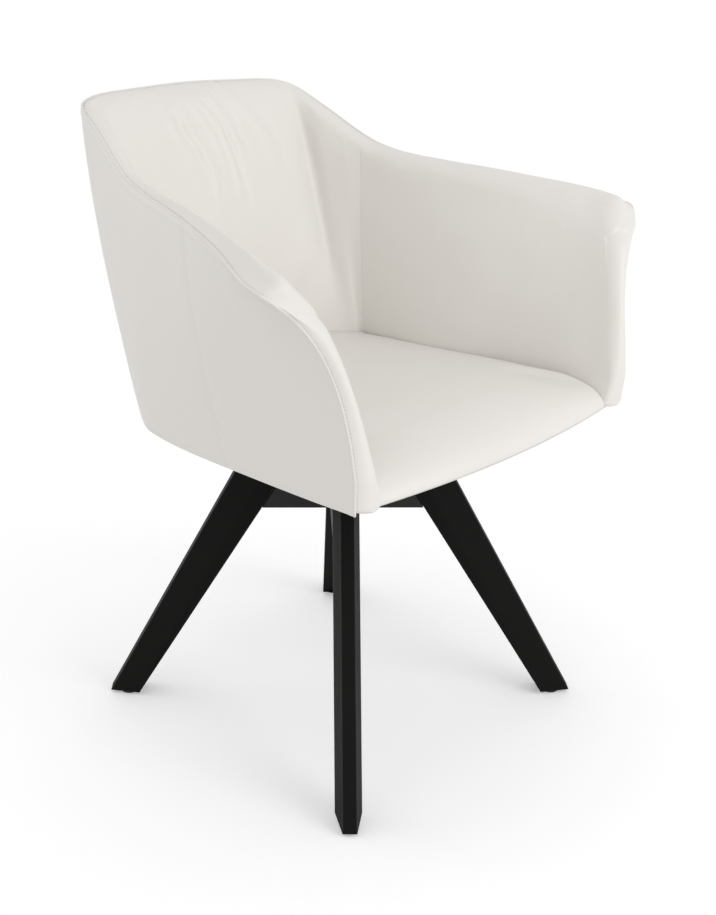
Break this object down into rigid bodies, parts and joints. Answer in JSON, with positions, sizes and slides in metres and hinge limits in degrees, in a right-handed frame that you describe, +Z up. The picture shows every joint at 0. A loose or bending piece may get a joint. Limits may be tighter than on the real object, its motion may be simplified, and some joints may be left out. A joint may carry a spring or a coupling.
{
  "type": "pedestal swivel armchair",
  "caption": "Padded leather tub armchair with flared arms and a crowned seat, turning on a swivel base of splayed square-cut wooden legs joined by a steel cross.",
  "frame": {"origin": "on the floor, under the middle of the chair's outer box; the swivel axis is 17 mm in front of it, at x 0, y -0.017", "axes": "+Z up, -Y towards the sitter's front, +X to the sitter's left"},
  "size_m": [0.6906, 0.589, 0.8451],
  "materials": {
    "white_leather": "smooth off-white upholstery leather with fine grain and a satin sheen",
    "black_wood": "black stained solid wood, satin, straight grain along the leg",
    "black_steel": "satin black powder coat",
    "frame_steel": "grey primer, hidden",
    "zinc_steel": "zinc plated",
    "bearing_steel": "ground steel",
    "cage_brass": "stamped brass",
    "bush_plastic": "natural nylon",
    "glide_plastic": "black moulded nylon",
    "plywood": "birch plywood, hidden",
    "black_lining": "black non-woven lining"
  },
  "bodies": {
    "base": {"leg_front_left": "black_wood", "leg_front_right": "black_wood", "leg_rear_left": "black_wood", "leg_rear_right": "black_wood", "glide_front_left": "glide_plastic", "glide_front_right": "glide_plastic", "glide_rear_left": "glide_plastic", "glide_rear_right": "glide_plastic", "glide_screws": "zinc_steel", "base_cross": "black_steel", "leg_bolts": "zinc_steel", "leg_inserts": "zinc_steel", "bush_upper": "bush_plastic", "bush_lower": "bush_plastic", "race_lower": "bearing_steel", "bearing_balls": "bearing_steel", "ball_cage": "cage_brass"},
    "seat": {"race_upper": "bearing_steel", "spindle_plate": "black_steel", "spindle_washer": "zinc_steel", "retaining_ring": "zinc_steel", "plate_screws": "zinc_steel", "tee_nuts": "zinc_steel", "seat_board": "plywood", "dust_cover": "black_lining", "shell_frame": "frame_steel", "seat_cushion": "white_leather", "back_pad": "white_leather", "arm_pad_left": "white_leather", "arm_pad_right": "white_leather", "side_cover_left": "white_leather", "side_cover_right": "white_leather", "rear_cover": "white_leather"}
  },
  "joints": [
    {"name": "seat_swivel", "type": "hinge", "parent": "base", "child": "seat", "pos_m": [0, -0.017, 0.43], "axis": [0, 0, 1], "continuous": true}
  ]
}
